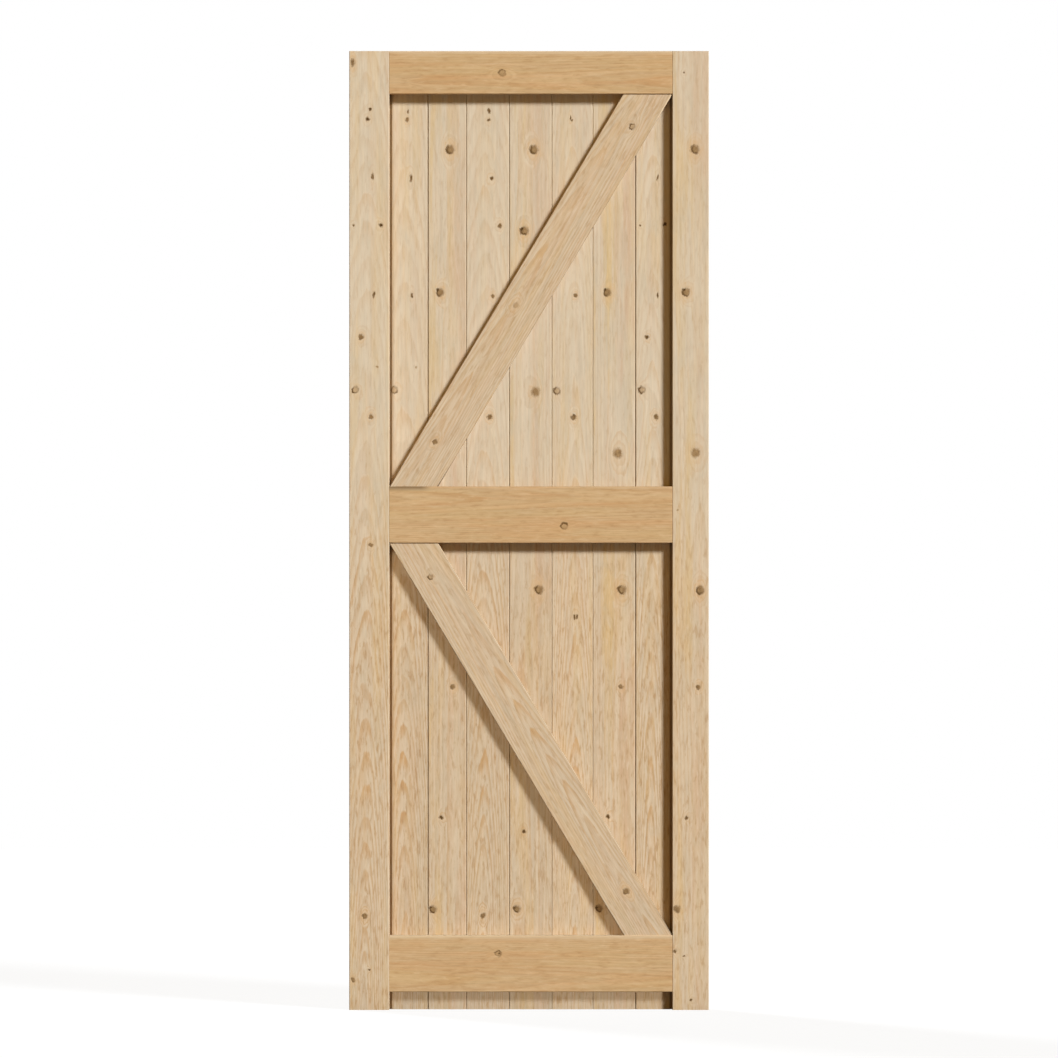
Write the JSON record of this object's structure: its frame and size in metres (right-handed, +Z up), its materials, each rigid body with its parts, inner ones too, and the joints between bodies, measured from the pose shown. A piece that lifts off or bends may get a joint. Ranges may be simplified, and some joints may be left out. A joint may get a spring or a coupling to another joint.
{
  "type": "barn door leaf",
  "caption": "Framed, ledged and braced pine door leaf with tongue-and-groove boards, to be hung as a sliding barn door.",
  "frame": {"origin": "middle of the leaf's bottom edge, halfway through its thickness", "axes": "+Z up the leaf, +X across it to the right as seen from the braced face, +Y through it from the braced face to the boarded face"},
  "size_m": [0.762, 0.044, 2.032],
  "materials": {
    "pale_pine": "planed, unfinished knotty pine",
    "honey_pine": "planed, unfinished pine of a warmer tone",
    "wedge_wood": "sawn end grain",
    "nail_steel": "cut from sheet steel, set flush"
  },
  "bodies": {
    "root": {"left_stile": "pale_pine", "right_stile": "pale_pine", "top_rail": "honey_pine", "middle_ledge": "honey_pine", "bottom_ledge": "honey_pine", "upper_brace": "pale_pine", "lower_brace": "pale_pine", "board_1": "pale_pine", "board_2": "pale_pine", "board_3": "pale_pine", "board_4": "pale_pine", "board_5": "pale_pine", "board_6": "pale_pine", "board_7": "pale_pine", "top_rail_wedges": "wedge_wood", "middle_ledge_wedges": "wedge_wood", "bottom_ledge_wedges": "wedge_wood", "middle_ledge_nails": "nail_steel", "bottom_ledge_nails": "nail_steel", "upper_brace_nails": "nail_steel", "lower_brace_nails": "nail_steel"}
  },
  "joints": []
}
